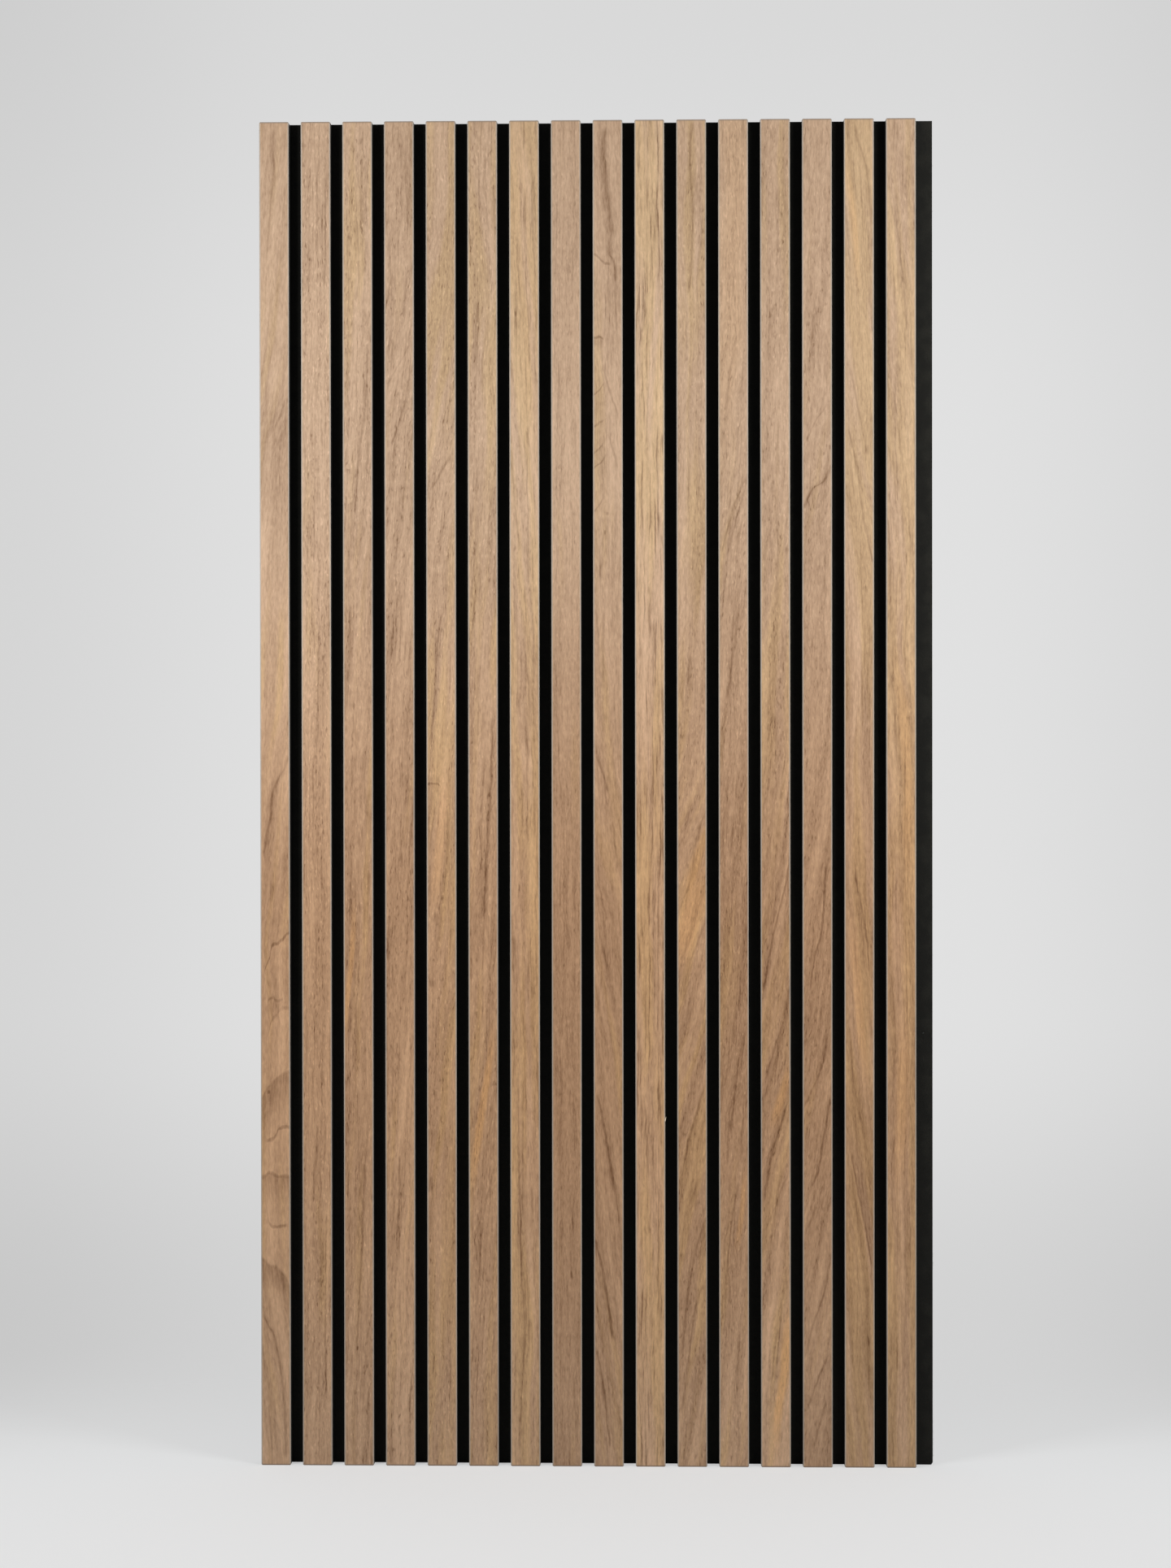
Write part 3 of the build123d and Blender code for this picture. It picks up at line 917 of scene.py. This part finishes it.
def thread_darkness(tree, across, height, thread, so_far):
    """Adds one drawn line that runs up the leaf, with a dim shade along both of its sides."""
    points, width, line, shade = thread
    points = sorted(points)
    low, high = points[0][0], points[-1][0]
    off = math_step(tree, "SUBTRACT", across, drawn_curve(tree, height, points))
    along = stretch(tree, height, (low, low + thread_end), (high, high - thread_end))
    core = math_step(tree, "MULTIPLY", bar(tree, off, 0.0, width * thread_softness), along)
    sides = math_step(tree, "MULTIPLY", bar(tree, off, 0.0, width * thread_shade), along)
    return add_share(tree, add_share(tree, so_far, core, line / thread_softness), sides, shade)


def arch_darkness(tree, across, height, arch, so_far):
    """Adds one growth ring that lies across the leaf: a thin line, and a tone under it that fades."""
    points, width, line, under, depth = arch
    first, last = points[0][0], points[-1][0]
    level = math_step(tree, "SUBTRACT", height, drawn_curve(tree, across, points))
    first_end = (first - arch_over, first + arch_end)
    near = stretch(tree, across, first_end, (last + arch_over, last - arch_end))
    edge = math_step(tree, "MULTIPLY", bar(tree, level, 0.0, width), near)
    below = stretch(tree, level, (-depth, -depth * arch_under), (width, -width))
    below = math_step(tree, "MULTIPLY", below, near)
    return add_share(tree, add_share(tree, so_far, edge, line), below, under)


def growth_rings(tree, wood):
    """Rings that darken slowly outwards and end at a sharp line, dim where the wood is rosier."""
    rings = math_step(tree, "DIVIDE", wood["grain"], ring_width)
    rings = math_step(tree, "FRACT", add_share(tree, rings, wood["bands"], ring_sway))
    rings = stretch(tree, rings, (ring_start, ring_edge), (1.0, ring_edge))
    return math_step(tree, "MULTIPLY", rings, ramp(tree, wood["hue"], *ring_hues))


def leaf_wood(tree, number, points, across, height):
    """One leaf's wood: how far each spot lies along and across the grain, and the patterns there.

    The growth rings cross the leaf along its course, while the threads of the wood lean less.
    """
    drift = drawn_curve(tree, height, points)
    wander, ripple, waves = [
        about_nought(tree, grain_noise(tree, number, across, height, name), reach)
        for name, reach in sway_reaches.items()
    ]
    wood = {"across": across, "height": height, "waved_height": math_step(tree, "ADD", height, waves)}
    wood["rippled"] = math_step(tree, "ADD", across, ripple)
    wood["lane"] = math_step(tree, "ADD", math_step(tree, "SUBTRACT", across, drift), ripple)
    wood["grain"] = math_step(tree, "ADD", wood["lane"], wander)
    thread = add_share(tree, wood["rippled"], drift, -thread_share)
    thread = add_share(tree, thread, wander, thread_share)
    for name in ("bands", "blotch", "hue"):
        wood[name] = grain_noise(tree, number, wood["grain"], height, name)
    for name in ("lines", "fibres", "pores", "flecks"):
        wood[name] = grain_noise(tree, number, thread, height, name)
    crowds = ramp(tree, wood["bands"], *pore_crowds)
    wood["dashes"] = math_step(tree, "MULTIPLY", ramp(tree, wood["pores"], *pore_core), crowds)
    wood["lower"] = ramp(tree, height, *lower_part)
    return wood


def plain_darkness(tree, leaf, wood):
    """How dark the leaf is by its own tone, the patterns of its wood and a painted shade at its middle.
    """
    height, lines = wood["height"], wood["lines"]
    dark = ramp(tree, height, *tone_part, *leaf["dark"])
    # Painted shade: every leaf is a little darker about its middle height.
    dark = add_share(tree, dark, bar(tree, height, *middle_shade_part), middle_shade_depth)
    spread = band_depth * leaf.get("bands", 1.0)
    spread = add_share(tree, spread, wood["lower"], spread)
    dark = add_share(tree, dark, about_nought(tree, wood["bands"], 1.0), spread)
    dark = math_step(tree, "ADD", dark, about_nought(tree, lines, line_depth * leaf["lines"]))
    dark = add_share(tree, dark, ramp(tree, lines, *line_core), line_core_depth * leaf["lines"])
    coarser = add_share(tree, 1.0, wood["lower"], lower_coarseness)
    dark = add_share(tree, dark, about_nought(tree, wood["fibres"], fibre_depth), coarser)
    dark = math_step(tree, "ADD", dark, about_nought(tree, wood["blotch"], blotch_depth))
    dark = add_share(tree, dark, growth_rings(tree, wood), ring_depth * leaf["rings"])
    pores = leaf.get("pores", 1.0)
    dark = add_share(tree, dark, wood["dashes"], pore_depth * pores)
    dark = add_share(tree, dark, ramp(tree, wood["flecks"], *fleck_core), -fleck_paleness * pores)
    for level, length, darker in leaf["shades"]:
        dark = add_share(tree, dark, bar(tree, height, level, length / 2), darker)
    return dark


def drawn_darkness(tree, leaf, wood, points, dark):
    """Adds the streaks, threads and arches that are drawn on the leaf."""
    marks = 0.0
    for streak in leaf["streaks"]:
        shape, strength = streak_mask(tree, wood["lane"], wood["height"], points, streak)
        marks = add_share(tree, marks, shape, strength)
    broken = math_step(tree, "MULTIPLY", ramp(tree, wood["lines"], *mark_breaks),
                       add_share(tree, mark_share, wood["lower"], lower_mark_share))
    dark = add_share(tree, dark, marks, broken)
    drawn = 0.0
    for thread in leaf.get("threads", []):
        drawn = thread_darkness(tree, wood["rippled"], wood["height"], thread, drawn)
    for arch in leaf.get("arches", []):
        drawn = arch_darkness(tree, wood["across"], wood["waved_height"], arch, drawn)
    return add_share(tree, dark, drawn, add_share(tree, drawn_share, wood["lower"], lower_drawn_share))


def wood_colour(tree, leaf, wood, points, dark):
    """The leaf's colour: rose or ochre, amber in its glows, dark in its grain, and tinted warmer
    downwards as painted light.
    """
    amber = 0.0
    for glow in leaf.get("glows", []):
        shape, strength = streak_mask(tree, wood["grain"], wood["height"], points, glow)
        amber = add_share(tree, amber, shape, strength)
        clearer = add_share(tree, 1.0, shape, -amber_clearness * strength)
        dark = math_step(tree, "MULTIPLY", dark, clearer)
    yellow_from = ochre_from - ochre_reach * leaf["ochre"]
    yellow = ramp(tree, wood["hue"], yellow_from, yellow_from + ochre_fade)
    tint = mix_colours(tree, yellow, rose_wood, ochre_wood)
    colour = mix_colours(tree, tint_share, pale_wood, tint)
    colour = mix_colours(tree, amber, colour, amber_wood)
    colour = mix_colours(tree, dark, colour, dark_wood)
    # Painted light: the lower leaf is tinted warmer and darker, standing in for the change of the lamps'
    # light down the panel.
    warmed = mix_colours(tree, 1.0, colour, painted_lower_light_tint, blend="MULTIPLY")
    warmth = stretch(tree, wood["height"], warm_part, warm_foot)
    return mix_colours(tree, warmth, colour, warmed)


def edge_highlight_and_shade(tree, wood, leaf_width, colour):
    """Paints a pale grey highlight along the arrises, darkens the sawn ends, and paints shade along the
    foot.
    """
    aside = math_step(tree, "SUBTRACT", math_step(tree, "ABSOLUTE", wood["across"]), leaf_width / 2)
    middle = panel_height * mm_per_metre / 2
    beyond = math_step(tree, "ABSOLUTE", math_step(tree, "SUBTRACT", wood["height"], middle))
    beyond = math_step(tree, "SUBTRACT", beyond, middle)
    outline = math_step(tree, "SMOOTH_MAX", aside, beyond, arris_corner)
    # Painted highlight: a pale grey line along the eased arrises, all round the face.
    colour = mix_colours(tree, ramp(tree, outline, *arris_part), colour, painted_arris_highlight)
    colour = mix_colours(tree, ramp(tree, beyond, *end_part), colour, dark_wood)
    # Painted shade: a dark line along the leaf's foot.
    return mix_colours(tree, ramp(tree, wood["height"], *foot_part), colour, dark_wood)


def leaf_material(number, leaf):
    """Sliced walnut with the tone, course and marks of one leaf."""
    material, tree, place = new_material(f"walnut_leaf_{number:02d}")
    low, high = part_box(f"slat_veneer_{number:02d}")
    spot = add_node(tree, "ShaderNodeSeparateXYZ", {0: place}).outputs
    across = math_step(tree, "SUBTRACT", spot["X"], (low.x + high.x) / 2)
    across = math_step(tree, "MULTIPLY", across, mm_per_metre)
    height = math_step(tree, "MULTIPLY", spot["Z"], mm_per_metre)
    points = drift_points(leaf["lean"])
    wood = leaf_wood(tree, number, points, across, height)
    dark = drawn_darkness(tree, leaf, wood, points, plain_darkness(tree, leaf, wood))
    colour = wood_colour(tree, leaf, wood, points, dark)
    relief = math_step(tree, "SUBTRACT", wood["fibres"], wood["dashes"])
    bump = add_node(tree, "ShaderNodeBump", {"Height": relief, "Strength": 0.4, "Distance": 0.00014})
    set_finish(tree, {
        "Base Color": edge_highlight_and_shade(tree, wood, (high.x - low.x) * mm_per_metre, colour),
        "Roughness": ramp(tree, wood["lines"], *gloss_part),
        "Specular IOR Level": 0.35,
        "Normal": bump.outputs[0],
    })
    return material


for number, leaf in enumerate(leaves, start=1):
    dress(nodes[f"slat_veneer_{number:02d}"], leaf_material(number, leaf))


# Splinter
# One pale sliver has lifted off the right edge of the tenth leaf, a quarter of the way up. Its foot is
# still held in the edge, and its point stands out over the groove.
sliver_foot = 0.3086
sliver_length = 0.0042
sliver_width = 0.0006
sliver_sides = 5
sliver_lean = math.radians(18)
sliver_flatness = 0.55
splits_per_metre = (4000, 4000, 300)
sliver_pale = (0.92, 0.84, 0.70, 1)
sliver_wood = (0.82, 0.68, 0.50, 1)


def sliver_material():
    """Bare broken walnut, paler than the sanded face."""
    material, tree, place = new_material("split_walnut")
    splits = add_node(tree, "ShaderNodeMapping", {"Vector": place, "Scale": splits_per_metre})
    threads = noise(tree, splits.outputs[0])
    set_finish(tree, {
        "Base Color": mix_colours(tree, ramp(tree, threads, 0.3, 0.7), sliver_wood, sliver_pale),
        "Roughness": 0.7,
    })
    return material


edge_low, edge_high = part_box("slat_veneer_10")
sliver = bmesh.new()
bmesh.ops.create_cone(
    sliver, cap_ends=True, segments=sliver_sides, radius1=sliver_width, radius2=0.0, depth=sliver_length
)
bmesh.ops.translate(sliver, verts=sliver.verts, vec=(0, 0, sliver_length / 2))
bmesh.ops.scale(sliver, verts=sliver.verts, vec=(1, sliver_flatness, 1))
sliver_turn = Matrix.Rotation(sliver_lean, 3, "Y")
bmesh.ops.rotate(sliver, verts=sliver.verts, cent=(0, 0, 0), matrix=sliver_turn)
sliver_place = (edge_high.x - sliver_width / 2, (edge_low.y + edge_high.y) / 2, sliver_foot)
bmesh.ops.translate(sliver, verts=sliver.verts, vec=sliver_place)
sliver_mesh = bpy.data.meshes.new("splinter")
sliver.to_mesh(sliver_mesh)
sliver.free()
splinter = bpy.data.objects.new("splinter", sliver_mesh)
bpy.context.scene.collection.objects.link(splinter)
dress(splinter, sliver_material())
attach(splinter, "root")


# Staples
# Galvanised wire staples hold the felt to the slats from behind until the glue has set. Only their
# crowns show, pressed a little into the felt.
zinc_light = (0.62, 0.62, 0.60, 1)
zinc_dull = (0.40, 0.40, 0.39, 1)
zinc_clouds_per_metre = 900


def staple_material():
    """Drawn galvanised wire with a cloudy zinc skin."""
    material, tree, place = new_material("galvanised_wire")
    skin = noise(tree, place, scale=zinc_clouds_per_metre, detail=3)
    set_finish(tree, {
        "Base Color": mix_colours(tree, ramp(tree, skin, 0.35, 0.65), zinc_dull, zinc_light),
        "Metallic": 1.0,
        "Roughness": ramp(tree, skin, 0.3, 0.7, 0.30, 0.46),
    })
    return material


dress(nodes["staples"], staple_material())
